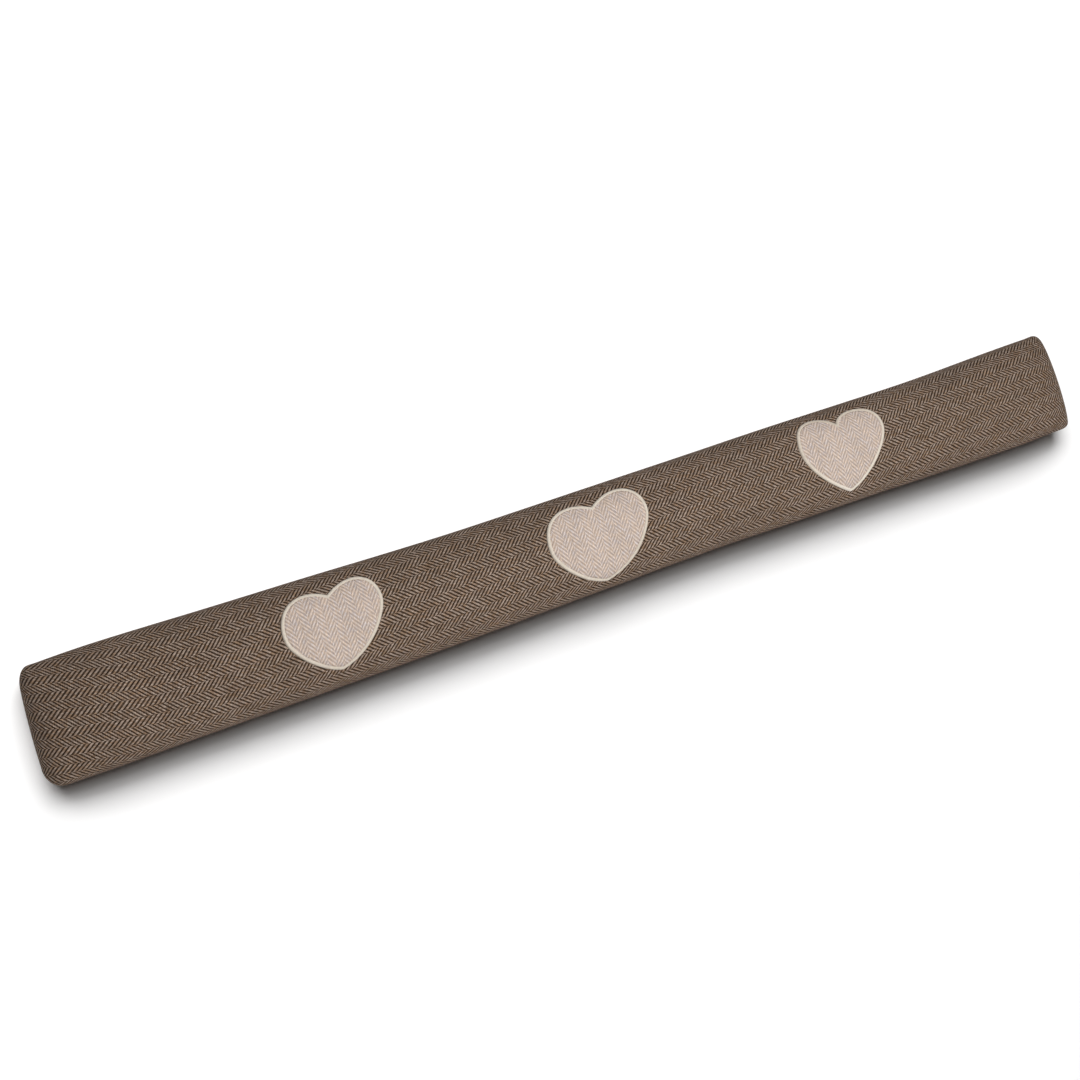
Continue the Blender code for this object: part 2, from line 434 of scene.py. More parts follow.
class Wire:
    """A node's output whose operators add Math nodes."""

    def __init__(self, maker: "NodeMaker", socket: bpy.types.NodeSocket) -> None:
        """Wrap one output socket of a node."""
        self.maker = maker
        self.socket = socket

    __add__ = math_operator("ADD")
    __radd__ = math_operator("ADD", swapped=True)
    __sub__ = math_operator("SUBTRACT")
    __rsub__ = math_operator("SUBTRACT", swapped=True)
    __mul__ = math_operator("MULTIPLY")
    __rmul__ = math_operator("MULTIPLY", swapped=True)
    __truediv__ = math_operator("DIVIDE")
    __rtruediv__ = math_operator("DIVIDE", swapped=True)
    __pow__ = math_operator("POWER")
    __rpow__ = math_operator("POWER", swapped=True)
    __mod__ = math_operator("FLOORED_MODULO")
    __rmod__ = math_operator("FLOORED_MODULO", swapped=True)
    __lt__ = math_operator("LESS_THAN")
    __gt__ = math_operator("GREATER_THAN")

    def floor(self) -> "Wire":
        """Return the whole part."""
        return self.maker.maths("FLOOR", self)

    def fraction(self) -> "Wire":
        """Return the part after the point."""
        return self.maker.maths("FRACT", self)

    def root(self) -> "Wire":
        """Return the square root."""
        return self.maker.maths("SQRT", self)

    def clamped(self) -> "Wire":
        """Return the value held between 0 and 1."""
        return self.maker.maths("MINIMUM", self.maker.maths("MAXIMUM", self, 0.0), 1.0)


class NodeMaker:
    """Adds nodes to one tree."""

    def __init__(self, tree: bpy.types.NodeTree) -> None:
        """Keep the tree."""
        self.tree = tree

    def node(self, kind: str, settings: dict[str, Any], values: dict[Any, Any],
             output: Union[int, str] = 0) -> Wire:
        """Add one node.

        Args:
            kind: The node's type.
            settings: Properties that are set first. "stops" sets the stops of a colour ramp.
            values: Values or links of the inputs, by number or identifier.
            output: The number or identifier of the output that is returned.

        Returns:
            The wrapped output.
        """
        made = self.tree.nodes.new(kind)
        for name, value in settings.items():
            if name == "stops":
                self.set_stops(made, value)
            else:
                setattr(made, name, value)
        for key, value in values.items():
            socket = self.find(made.inputs, key)
            if isinstance(value, Wire):
                self.tree.links.new(value.socket, socket)
            else:
                socket.default_value = value
        return Wire(self, self.find(made.outputs, output))

    @staticmethod
    def find(sockets: Any, key: Union[int, str]) -> bpy.types.NodeSocket:
        """Return the socket with a number, identifier or name."""
        same = [socket for socket in sockets if socket.identifier == key]
        return same[0] if same else sockets[key]

    @staticmethod
    def set_stops(ramp_node: bpy.types.Node, stops: tuple[tuple[float, Colour], ...]) -> None:
        """Give a colour ramp its stops.

        Args:
            ramp_node: The ramp's node.
            stops: The stops, each a place and a colour.
        """
        elements = ramp_node.color_ramp.elements
        while len(elements) < len(stops):
            elements.new(0.5)
        for element, (place, colour) in zip(elements, stops):
            element.position = place
            element.color = (*colour, 1.0)

    def maths(self, operation: str, *values: Number) -> Wire:
        """Return a Math node's result for the values."""
        return self.node("ShaderNodeMath", {"operation": operation}, dict(enumerate(values)))

    def vector(self, x: Number, y: Number, z: Number = 0.0) -> Wire:
        """Return a vector of three values."""
        return self.node("ShaderNodeCombineXYZ", {}, {0: x, 1: y, 2: z})

    def blend(self, factor: Number, first: Any, second: Any, kind: str = "MIX") -> Wire:
        """Mix two colours, each a plain colour or a wire.

        Args:
            factor: The share of the second.
            first: The first colour.
            second: The second colour.
            kind: The way of mixing.

        Returns:
            The mixed colour.
        """
        first, second = (end if isinstance(end, Wire) else (*end, 1.0) for end in (first, second))
        settings = {"data_type": "RGBA", "blend_type": kind, "clamp_factor": True}
        values = {"Factor_Float": factor, "A_Color": first, "B_Color": second}
        return self.node("ShaderNodeMix", settings, values, "Result_Color")


class MaterialMaker(NodeMaker):
    """Adds the nodes of one material."""

    def __init__(self, name: str) -> None:
        """Make the material with an empty tree."""
        self.material = bpy.data.materials.new(name)
        self.material.use_nodes = True
        self.material.node_tree.nodes.clear()
        super().__init__(self.material.node_tree)

    def object_place(self) -> Wire:
        """Return the place in the piece's own coordinates."""
        return self.node("ShaderNodeTexCoord", {}, {}, "Object")

    def cloth_place(self, run: BandRun) -> list[Wire]:
        """Read the place on the flat cloth.

        Args:
            run: Which way the cloth's bands run on the piece.

        Returns:
            The places along the bands and across them.
        """
        place = self.node("ShaderNodeUVMap", {"uv_map": CLOTH_LAYER}, {}, "UV")
        parts = self.node("ShaderNodeSeparateXYZ", {}, {0: place}).socket.node.outputs
        pair = [Wire(self, parts[0]), Wire(self, parts[1])]
        return pair if run is BandRun.ALONG else pair[::-1]

    def attribute(self, name: str) -> Wire:
        """Return a number that the mesh keeps at its corners."""
        return self.node("ShaderNodeAttribute", {"attribute_name": name}, {}, "Fac")

    def chance(self, x: Number, y: Number, z: Number) -> Wire:
        """Return a random value from 0 to 1 for each triple of numbers."""
        values = {"Vector": self.vector(x, y, z)}
        return self.node("ShaderNodeTexWhiteNoise", {"noise_dimensions": "3D"}, values, "Value")

    def noise(self, vector: Wire, scale: float, detail: float = 2.0, roughness: float = 0.5) -> Wire:
        """Return smooth noise from 0 to 1."""
        values = {"Vector": vector, "Scale": scale, "Detail": detail, "Roughness": roughness}
        return self.node("ShaderNodeTexNoise", {"noise_dimensions": "3D"}, values, "Fac")

    def mottled(self, along: Wire, across: Wire, mottle: Mottle) -> Wire:
        """Return a noise over the cloth, with its gain and base."""
        fine = self.noise(self.vector(along, across, mottle.level), mottle.scale, mottle.detail)
        return fine * mottle.gain + mottle.base

    def bump(self, strength: float, distance: float, height: Wire) -> Wire:
        """Return the normals of a relief."""
        values = {"Strength": strength, "Distance": distance, "Height": height}
        return self.node("ShaderNodeBump", {}, values, "Normal")

    def finish(self, values: dict[str, Any]) -> bpy.types.Material:
        """Add the surface shader and the output.

        Args:
            values: The surface shader's values or links.

        Returns:
            The finished material.
        """
        surface = self.node("ShaderNodeBsdfPrincipled", {}, values)
        output = self.tree.nodes.new("ShaderNodeOutputMaterial")
        self.tree.links.new(surface.socket, output.inputs["Surface"])
        return self.material


@dataclass(frozen=True)
class HerringboneFinish:
    """A 2/2 twill whose slant turns back every eight threads, with its light and its dark yarn.

    A yarn's mottle is given as its count along the yarn for each metre, and its step from yarn to yarn.
    """

    name: str
    run: BandRun
    thread: float
    pick: float
    light: Tints
    dark: Tints
    # the share of the yarn colour that is painted shade between the threads
    shade: float
    relief: float
    unevenness: float
    fleck: Colour
    band_threads: float = 8.0
    float_length: float = 2.0
    first_thread: float = 800.0
    warp_stray: float = 0.35
    weft_height: float = 0.88
    side_drop: float = 0.9
    end_drop: float = 0.6
    end_power: float = 4.0
    light_mottle: tuple[float, float] = (95.0, 0.83)
    dark_mottle: tuple[float, float] = (105.0, 0.77)
    dark_level: float = 5.0
    chance_scramble: float = 37.0
    yarn_places: tuple[float, float, float] = (0.30, 0.50, 0.70)
    yarn_roughness: float = 0.6
    yarn_chance: float = 0.45
    speck_scale: float = 620.0
    speck_squash: float = 1.6
    speck_level: float = 2.0
    speck_limit: float = 0.66
    speck_gain: float = 4.0
    bead_level: float = 4.0
    bead_share: float = 0.6
    # how much the painted light lightens the heart cloth next to its border at the lobes
    painted_rim_light_gain: float = 0.35
    bump_strength: float = 0.75

    def material(self) -> bpy.types.Material:
        """Build the cloth's material.

        Returns:
            The material.
        """
        maker = MaterialMaker(self.name)
        along, across = maker.cloth_place(self.run)
        stray = maker.mottled(along, across, STRAY)
        warp = across / self.thread + self.first_thread + stray * self.warp_stray
        weft = along / self.pick + self.first_thread + stray
        thread = warp.floor()
        band = (warp / self.band_threads).floor()
        turned = band % 2.0
        sign = 1.0 - turned * 2.0
        step = weft + (sign * (thread - band * self.band_threads) + turned)
        phase = step % (self.float_length * 2)
        warp_up = phase < self.float_length
        warp_height = self.float_height(warp.fraction(), phase / self.float_length)
        over = (sign * (phase.floor() - (self.float_length + 0.5)) + warp.fraction() + 0.5) / self.float_length
        weft_height = self.float_height(weft.fraction(), over)
        height = warp_up * warp_height + (1.0 - warp_up) * weft_height * self.weft_height
        chance = maker.chance(thread, (step / (self.float_length * 2)).floor(), warp_up)
        yarn_chance = (chance * self.chance_scramble).fraction()
        light_place = maker.vector(along * self.light_mottle[0], thread * self.light_mottle[1])
        pick_step = weft.floor() * self.dark_mottle[1]
        dark_place = maker.vector(pick_step, across * self.dark_mottle[0], self.dark_level)
        light = self.yarn(maker, light_place, yarn_chance, self.light)
        dark = self.yarn(maker, dark_place, yarn_chance, self.dark)
        colour = maker.blend(warp_up, dark, light)
        speck_place = maker.vector(along, across * self.speck_squash, self.speck_level)
        speck = maker.noise(speck_place, self.speck_scale, roughness=self.yarn_roughness)
        colour = maker.blend((speck - self.speck_limit).clamped() * self.speck_gain, colour, self.fleck)
        # Painted shade: each float's rounded height darkens the colour at the yarns' sides and ends, and more
        # on the lower weft floats, as shade between the threads
        painted_weave_shade = height * self.shade + (1.0 - self.shade)
        bead = maker.chance(thread, weft.floor(), self.bead_level)
        mean = (1.0 + self.bead_share) / 2
        uneven = (chance + bead * self.bead_share) * self.unevenness + (1.0 - self.unevenness * mean)
        tone = painted_weave_shade * maker.mottled(along, across, CLOUD) * maker.mottled(along, across, FUZZ) * uneven
        # Painted light: the heart cloth is made lighter next to its border at the lobes, where the cover turns
        # away from the light and the border shades it
        tone = tone * (maker.attribute("painted_rim_light") * self.painted_rim_light_gain + 1.0)
        colour = maker.blend(1.0, colour, maker.vector(tone, tone, tone), "MULTIPLY")
        hairy = height + maker.mottled(along, across, HAIR)
        return maker.finish({
            "Base Color": colour,
            "Roughness": 0.95,
            "Specular IOR Level": 0.12,
            "Normal": maker.bump(self.bump_strength, self.relief, hairy),
        })

    def float_height(self, side: Wire, length: Wire) -> Wire:
        """Return the rounded height of a float, from 0 to 1.

        Args:
            side: The share of the way across the yarn.
            length: The share of the way along the float.

        Returns:
            The height.
        """
        off_side = side * 2.0 - 1.0
        off_length = length * 2.0 - 1.0
        rounded = (1.0 - off_side * off_side * self.side_drop).root()
        return rounded * (1.0 - off_length**self.end_power * self.end_drop)

    def yarn(self, maker: MaterialMaker, place: Wire, chance: Wire, tints: Tints) -> Wire:
        """Return a yarn's mottled colour.

        Args:
            maker: The material's node maker.
            place: A place that changes slowly along the yarn and quickly from yarn to yarn.
            chance: A random value for each float.
            tints: The yarn's three tints.

        Returns:
            The colour.
        """
        mottle = maker.noise(place, 1.0, roughness=self.yarn_roughness)
        share = mottle * (1.0 - self.yarn_chance) + chance * self.yarn_chance
        stops = tuple(zip(self.yarn_places, tints))
        return maker.node("ShaderNodeValToRGB", {"stops": stops}, {"Fac": share}, "Color")


@dataclass(frozen=True)
class SatinFinish:
    """Close satin stitching in one thread, with a soft sheen."""

    name: str
    colours: tuple[Colour, Colour]
    patch_scale: float = 160.0
    patch_share: float = 0.4
    tone_share: float = 0.5
    least_share: float = 0.05
    ply_scale: float = 2400.0
    ply_relief: float = 0.0002
    bump_strength: float = 0.4

    def material(self) -> bpy.types.Material:
        """Build the thread's material.

        Returns:
            The material.
        """
        maker = MaterialMaker(self.name)
        place = maker.object_place()
        patch = maker.noise(place, self.patch_scale)
        # The tone holds each stitch's random paleness and the painted light on the lit side of the border
        share = patch * self.patch_share + maker.attribute("tone") * self.tone_share + self.least_share
        ply = maker.noise(place, self.ply_scale)
        return maker.finish({
            "Base Color": maker.blend(share.clamped(), *self.colours),
            "Roughness": 0.55,
            "Specular IOR Level": 0.4,
            "Sheen Weight": 0.2,
            "Normal": maker.bump(self.bump_strength, self.ply_relief, ply),
        })


@dataclass(frozen=True)
class FloorFinish:
    """A pale, faintly glossy floor."""

    name: str
    colour: Colour
    patch_scale: float = 3.0
    roughness: float = 0.3
    roughness_range: float = 0.06

    def material(self) -> bpy.types.Material:
        """Build the floor's material.

        Returns:
            The material.
        """
        maker = MaterialMaker(self.name)
        patch = maker.noise(maker.object_place(), self.patch_scale)
        return maker.finish({
            "Base Color": (*self.colour, 1.0),
            "Roughness": patch * self.roughness_range + self.roughness,
            "Specular IOR Level": 0.25,
        })


def link_mesh(mesh: bpy.types.Mesh) -> bpy.types.Object:
    """Put a mesh in the scene as a smooth-shaded object at the origin.

    Args:
        mesh: The mesh, whose name the object gets.

    Returns:
        The new object.
    """
    mesh.shade_smooth()
    piece = bpy.data.objects.new(mesh.name, mesh)
    bpy.context.scene.collection.objects.link(piece)
    return piece


def mesh_object(name: str, points: np.ndarray, faces: list[tuple[int, ...]]) -> bpy.types.Object:
    """Make a mesh object.

    Args:
        name: The object's name.
        points: The corners' places.
        faces: The faces as numbers of corners.

    Returns:
        The new object.
    """
    mesh = bpy.data.meshes.new(name)
    mesh.from_pydata([tuple(p) for p in points], [], faces)
    return link_mesh(mesh)


def ring_faces(first: int, second: int, count: int) -> list[tuple[int, ...]]:
    """Return the faces between two closed rings of corners, given by their first corners."""
    pairs = [(i, (i + 1) % count) for i in range(count)]
    return [(first + i, first + j, second + j, second + i) for i, j in pairs]


def face_outwards(mesh: bpy.types.Mesh) -> None:
    """Turn the faces of a closed mesh to the outside.

    Args:
        mesh: The mesh.
    """
    shell = bmesh.new()
    shell.from_mesh(mesh)
    bmesh.ops.recalc_face_normals(shell, faces=shell.faces)
    shell.to_mesh(mesh)
    shell.free()


def apply_modifiers(piece: bpy.types.Object) -> None:
    """Turn a piece with modifiers into a plain mesh.

    Args:
        piece: The piece.
    """
    depsgraph = bpy.context.evaluated_depsgraph_get()
    finished = bpy.data.meshes.new_from_object(piece.evaluated_get(depsgraph), depsgraph=depsgraph)
    piece.modifiers.clear()
    piece.data = finished


def set_uv(mesh: bpy.types.Mesh, values: np.ndarray) -> None:
    """Write the place of each face corner on the flat cloth as a UV map."""
    uv = mesh.uv_layers.new(name=CLOTH_LAYER)
    uv.data.foreach_set("uv", values.astype(np.float32).ravel())


def set_attribute(mesh: bpy.types.Mesh, name: str, values: np.ndarray) -> None:
    """Write an attribute of the mesh's corners.

    Args:
        mesh: The mesh.
        name: The attribute's name.
        values: One number or one vector for each corner.
    """
    kind, slot = ("FLOAT", "value") if values.ndim == 1 else ("FLOAT_VECTOR", "vector")
    layer = mesh.attributes.new(name, kind, "POINT")
    layer.data.foreach_set(slot, values.astype(np.float32).ravel())


def read_vectors(items: Any, name: str) -> np.ndarray:
    """Read one of the vectors that each item of a mesh keeps.

    Args:
        items: The items, such as the mesh's corners.
        name: The vector's name.

    Returns:
        One vector for each item.
    """
    values = np.empty(len(items) * 3, np.float32)
    items.foreach_get(name, values)
    return values.reshape(-1, 3).astype(float)


def move_vertices(mesh: bpy.types.Mesh, places: np.ndarray) -> None:
    """Move the mesh's corners."""
    mesh.vertices.foreach_set("co", places.astype(np.float32).ravel())
    mesh.update()


def heart_outline(heart: HeartPlace, steps: int) -> np.ndarray:
    """Draw a heart's outline on flat cloth.

    Args:
        heart: The heart.
        steps: Points on each of its four curves.

    Returns:
        The outline, counter-clockwise from the notch, with the tip at the bottom.
    """
    t = np.arange(steps)[:, None] / steps
    weights = ((1 - t)**3, 3 * t * (1 - t)**2, 3 * t**2 * (1 - t), t**3)
    sides = []
    for between, outward in ((heart.shape.left, -1.0), (heart.shape.right, 1.0)):
        controls = np.array([heart.shape.notch, *between, heart.shape.tip])
        upper, lower = (sum(w * c for w, c in zip(weights, controls[first:])) for first in (0, 3))
        side = np.concatenate([upper, lower, controls[-1:]])
        sides.append(side * (outward * heart.width / 2, heart.height))
    left, right = sides
    return np.concatenate([left, right[-2:0:-1]])


def inset(outline: np.ndarray, distance: float) -> np.ndarray:
    """Move the corners of a closed outline inwards so that each side moves by the distance.

    Args:
        outline: The outline's corners, counter-clockwise.
        distance: How far the sides move.

    Returns:
        The smaller outline.
    """
    before = unit(outline - np.roll(outline, 1, axis=0))
    after = np.roll(before, -1, axis=0)
    left_of_before, left_of_after = (way[:, ::-1] * (-1, 1) for way in (before, after))
    inward = unit(left_of_before + left_of_after)
    sharpest = 0.4
    slant = np.maximum(sharpest, (inward * left_of_before).sum(axis=1))
    return outline + inward * distance / slant[:, None]


def even_points(outline: np.ndarray, spacing: float) -> np.ndarray:
    """Spread places evenly over a closed outline.

    Args:
        outline: The outline's corners.
        spacing: The wanted distance.

    Returns:
        For each place, the number of the corner before it plus the share of the way to the next.
    """
    reached = line_distances(np.concatenate([outline, outline[:1]]), axis=0)
    count = round(reached[-1] / spacing)
    return np.interp(np.arange(count) * reached[-1] / count, reached, np.arange(len(reached)))


def read_between(outline: np.ndarray, places: np.ndarray) -> np.ndarray:
    """Read points between the corners of a closed outline.

    Args:
        outline: The outline's corners.
        places: Places given as numbers along the corners.

    Returns:
        One point for each place.
    """
    low = np.floor(places).astype(int) % len(outline)
    share = (places - np.floor(places))[:, None]
    return outline[low] * (1 - share) + outline[(low + 1) % len(outline)] * share


@dataclass
class Cushion:
    """The stuffed cover: a grid on the cushion's form, filled by a cloth simulation."""

    form: CushionForm
    finish: HerringboneFinish
    quarter_segments: int = 22
    row_spacing: float = 0.0056
    end_rows: tuple[float, ...] = (0.0, 0.0007, 0.0018, 0.0035, 0.006, 0.009, 0.0125, 0.0165, 0.021,
                                   0.026, 0.0315, 0.037, 0.0425, 0.048, 0.054, 0.060, 0.066)
    turn_samples: int = 97
    drift_samples: int = 1401
    drift_margin: float = 0.1
    seam_recess: float = 0.0014
    recess_columns: int = 3
    deflation: float = 0.0009
    stiff_end: float = 0.02
    held_below: float = 0.3
    hold: float = 0.12
    frames: int = 20
    smoothing_reach: int = 6
    smoothing_passes: int = 3
    wrinkle_gain: float = 2.2
    wrinkle_cap: float = 0.0015
    proud_front: float = 0.0006
    proud_back: float = 0.0003
    resting_height: float = 0.00001
    belly_seam: float = 0.0012
    belly_seam_width: float = 0.0016
    belly_height: float = 0.0015
    level_normal: float = 0.7
    sewing_line: float = 0.0017
    sewing_steps: int = 24
    sewing_pull: float = 0.0007
    sewing_width: float = 0.0034
    laying_height: float = 0.012
    piece: bpy.types.Object = field(init=False, default=None)
    skin: BVHTree = field(init=False, default=None)

    def rows(self) -> np.ndarray:
        """Space the rows along the length, closer together near the end seams.

        Returns:
            The rows' places.
        """
        ends = np.array(self.end_rows)
        length = self.form.length
        count = round((length - 2 * ends[-1]) / self.row_spacing)
        middle = np.linspace(ends[-1], length - ends[-1], count + 1)[1:-1]
        return np.concatenate([ends, middle, length - ends[::-1]])

    def grid(self) -> tuple[np.ndarray, np.ndarray]:
        """Lay the grid on the form.

        Returns:
            The points as rows and columns from the belly round the front, crown and back to the belly, and the
            distance of each along the cloth from the crown line.
        """
        rows = self.rows()
        per_quarter = self.quarter_segments
        turns = np.empty((len(rows), 4 * per_quarter + 1))
        fine = np.linspace(0.0, math.pi / 2, self.turn_samples)
        for quarter in range(4):
            fine_turns = -math.pi / 2 + quarter * math.pi / 2 + fine
            reached = line_distances(self.form.skin(rows[:, None], fine_turns), axis=1)
            first = quarter * per_quarter
            for row, line in enumerate(reached):
                wanted = np.linspace(0.0, line[-1], per_quarter + 1)
                turns[row, first:first + per_quarter + 1] = np.interp(wanted, line, fine_turns)
        points = self.form.skin(rows[:, None], turns)
        arcs = line_distances(points, axis=1)
        return points, arcs - arcs[:, 2 * per_quarter:2 * per_quarter + 1]

    def cloth_map(self, points: np.ndarray, arcs: np.ndarray) -> np.ndarray:
        """Lay the grid out on the flat cloth, whose bands drift to the front as they run.

        Args:
            points: The grid.
            arcs: The distances from the crown line.

        Returns:
            Pairs of the distance along the bands and the distance across them.
        """
        along = line_distances(points, axis=0)
        middle = len(points) // 2
        along += points[middle, :, 0] - along[middle] + self.form.length / 2
        fine = np.linspace(-self.drift_margin, self.form.length + self.drift_margin, self.drift_samples)
        slopes = read_table(DRIFTS, "slope", fine)
        total = np.concatenate([[0.0], np.cumsum((slopes[1:] + slopes[:-1]) / 2 * np.diff(fine))])
        return np.stack([along, arcs + np.interp(along, fine, total)], axis=-1)

    def build(self) -> bpy.types.Object:
        """Build, fill, sew and dress the cover.

        Returns:
            The cover.
        """
        points, arcs = self.grid()
        cloth = self.cloth_map(points, arcs)
        rows, columns = points.shape[0], points.shape[1] - 1
        corners = []
        faces = []
        for row in range(rows - 1):
            faces += ring_faces(row * columns, (row + 1) * columns, columns)
            for i in range(columns):
                corners += [(row, i), (row, i + 1), (row + 1, i + 1), (row + 1, i)]
        places = list(points[:, :columns].reshape(-1, 3))
        for row, inward in ((0, 1.0), (rows - 1, -1.0)):
            self.close_end(row, inward, places, faces, corners)
        cover = mesh_object("cushion_cover", np.array(places) + self.form.place_in_frame(), faces)
        set_uv(cover.data, np.array([cloth[row, i] for row, i in corners]))
        # The end seams' own corners have no place on the cloth, so they get one off every heart
        sewing = np.full((len(places), 3), -1.0)
        sewing[:rows * columns, 0] = points[:, :columns, 0].ravel() + self.form.length / 2
        sewing[:rows * columns, 1] = arcs[:, :columns].ravel()
        set_attribute(cover.data, "sewing", sewing)
        face_outwards(cover.data)
        self.fill(cover, rows, columns)
        subdivision = cover.modifiers.new("round", "SUBSURF")
        subdivision.levels = 1
        subdivision.render_levels = 1
        apply_modifiers(cover)
        self.sew(cover.data)
        cover.data.shade_smooth()
        cover.data.materials.append(self.finish.material())
        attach(cover, "root")
        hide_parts("cushion")
        self.piece = cover
        mesh = cover.data
        self.skin = BVHTree.FromPolygons([v.co for v in mesh.vertices], [p.vertices for p in mesh.polygons])
        LOG.info("%s: %d faces", cover.name, len(mesh.polygons))
        return cover

    def close_end(self, row: int, inward: float, places: list, faces: list, corners: list) -> None:
        """Close one end with a seam, whose middle line runs from the front to the back and is drawn in.

        Args:
            row: The end's row.
            inward: The sign of the way into the cushion along X.
            places: The mesh's corners, added to.
            faces: The mesh's faces, added to.
            corners: The grid place of each face corner, added to.
        """
        front = self.quarter_segments
        columns = 4 * front
        last = 2 * front
        start = row * columns
        seam = [start + front]
        for i in range(1, last):
            middle = (places[start + (front - i) % columns] + places[start + front + i]) / 2
            depth = self.seam_recess * min(1.0, min(i, last - i) / self.recess_columns)
            places.append(middle + np.array([inward * depth, 0.0, 0.0]))
            seam.append(len(places) - 1)
        seam.append(start + front + last)
        for i in range(last):
            for way in (1, -1):
                here = (front + way * i) % columns
                following = (front + way * (i + 1)) % columns
                column_of = {start + here: here, start + following: following}
                column_of.update({seam[i + 1]: following, seam[i]: here})
                faces.append(tuple(column_of))
                corners += [(row, column) for column in column_of.values()]

    def fill(self, cover: bpy.types.Object, rows: int, columns: int) -> None:
        """Blow the cover up, keep the wrinkles that form, and bring it to the width of the filled cloth.

        Args:
            cover: The cover.
            rows: How many rows its grid has.
            columns: How many columns its grid has.
        """
        form = read_vectors(cover.data.vertices, "co")
        normals = read_vectors(cover.data.vertex_normals, "vector")
        size = rows * columns
        distance = np.minimum(self.rows(), self.form.length - self.rows())
        ease = np.zeros(len(form))
        ease[:size] = np.repeat(np.clip(distance / self.stiff_end, 0.0, 1.0), columns)
        resting = form[:, 2] < self.resting_height
        rise = np.zeros(len(form))
        blown = self.blow_up(cover, form - normals * (self.deflation * ease)[:, None], ease, resting)
        moved = ((blown - form) * normals).sum(axis=1)[:size].reshape(rows, columns)
        wrinkles = moved - self.smoothed(moved)
        LOG.info("wrinkles: %.2f mm on average, %.2f mm at most",
                 np.abs(wrinkles).mean() * 1000, np.abs(wrinkles).max() * 1000)
        rise[:size] = np.clip(wrinkles * self.wrinkle_gain, -self.wrinkle_cap, self.wrinkle_cap).ravel()
        half_width = read_table(SECTIONS, "half_width", np.array([self.form.length / 2]))[0]
        side = np.clip(-form[:, 1] / half_width, -1.0, 1.0)
        rise += self.proud_back + (self.proud_front - self.proud_back) * (side + 1.0) / 2
        filled = form + normals * np.where(resting, 0.0, rise * ease)[:, None]
        filled[:, 2] = np.maximum(filled[:, 2], 0.0)
        move_vertices(cover.data, filled)

    def smoothed(self, values: np.ndarray) -> np.ndarray:
        """Even grid values out over a few rows and columns.

        Args:
            values: One value for each row and column.

        Returns:
            The even values.
        """
        reach = self.smoothing_reach
        count = 2 * reach + 1
        for _ in range(self.smoothing_passes):
            padded = np.concatenate([values[:1].repeat(reach, 0), values, values[-1:].repeat(reach, 0)])
            values = sum(padded[k:k + len(values)] for k in range(count)) / count
            values = sum(np.roll(values, k, axis=1) for k in range(-reach, reach + 1)) / count
        return values

    def blow_up(self, cover: bpy.types.Object, start: np.ndarray, ease: np.ndarray,
                resting: np.ndarray) -> np.ndarray:
        """Run the cloth simulation.

        Args:
            cover: The cover.
            start: The places of its corners before it is filled.
            ease: How free each corner is, from 0 to 1.
            resting: Which corners lie on the floor.

        Returns:
            The places of the corners when it is filled.
        """
        move_vertices(cover.data, start)
        held = cover.vertex_groups.new(name="held")
        fixed = (ease < self.held_below) | resting
        for weight, chosen in ((1.0, fixed), (self.hold, ~fixed)):
            held.add([int(i) for i in np.flatnonzero(chosen)], weight, "REPLACE")
        cloth = cover.modifiers.new("filling", "CLOTH")
        for name, value in FILLING_SETTINGS.items():
            setattr(cloth.settings, name, value)
        cloth.settings.effector_weights.gravity = 0.0
        cloth.settings.vertex_group_mass = held.name
        scene = bpy.context.scene
        for number in range(1, self.frames + 1):
            scene.frame_set(number)
        depsgraph = bpy.context.evaluated_depsgraph_get()
        blown = read_vectors(cover.evaluated_get(depsgraph).data.vertices, "co")
        cover.modifiers.clear()
        scene.frame_set(1)
        return blown

    def sew(self, mesh: bpy.types.Mesh) -> None:
        """Draw the cover in along the hearts' stitching and along the seam under the belly.

        Args:
            mesh: The cover's mesh after its subdivision.
        """
        places = read_vectors(mesh.vertices, "co")
        normals = read_vectors(mesh.vertex_normals, "vector")
        along, arc, _ = read_vectors(mesh.attributes["sewing"].data, "vector").T
        depth = np.zeros(len(places))
        for heart in HEARTS:
            outline = inset(heart_outline(heart, self.sewing_steps), self.sewing_line)
            x = along - heart.at
            y = arc - heart.across
            near = np.flatnonzero((np.abs(x) < heart.width) & (np.abs(y) < heart.height))
            flat = np.stack([x[near] - heart.lean * y[near], y[near]], axis=-1)
            gaps = np.linalg.norm(flat[:, None] - outline[None], axis=-1).min(axis=1)
            depth[near] += self.sewing_pull * np.exp(-(gaps / self.sewing_width)**2)
        places -= normals * depth[:, None]
        under = (places[:, 2] < self.belly_height) & (np.abs(normals[:, 2]) > self.level_normal)
        crease = np.exp(-(places[:, 1] / self.belly_seam_width)**2) * self.belly_seam
        places[:, 2] = np.maximum(places[:, 2] + np.where(under, crease, 0.0), 0.0)
        move_vertices(mesh, places)
        mesh.attributes.remove(mesh.attributes["sewing"])

    def laid(self, at: np.ndarray, arc: np.ndarray, height: Any) -> tuple[np.ndarray, np.ndarray]:
        """Lay points on the filled cover.

        Args:
            at: Places along the length.
            arc: Distances from the crown line, to the back where positive.
            height: One height above the cover, or one for each point.

        Returns:
            The points and the outward directions there.
        """
        points, normals = self.form.crown_frames(at, arc)
        points = points + self.form.place_in_frame()
        placed = np.empty_like(points)
        for i, (point, normal) in enumerate(zip(points, normals)):
            origin = Vector(point + normal * self.laying_height)
            hit, _, _, _ = self.skin.ray_cast(origin, Vector(-normal), 2 * self.laying_height)
            placed[i] = point if hit is None else hit
        return placed + normals * np.broadcast_to(height, len(points))[:, None], normals


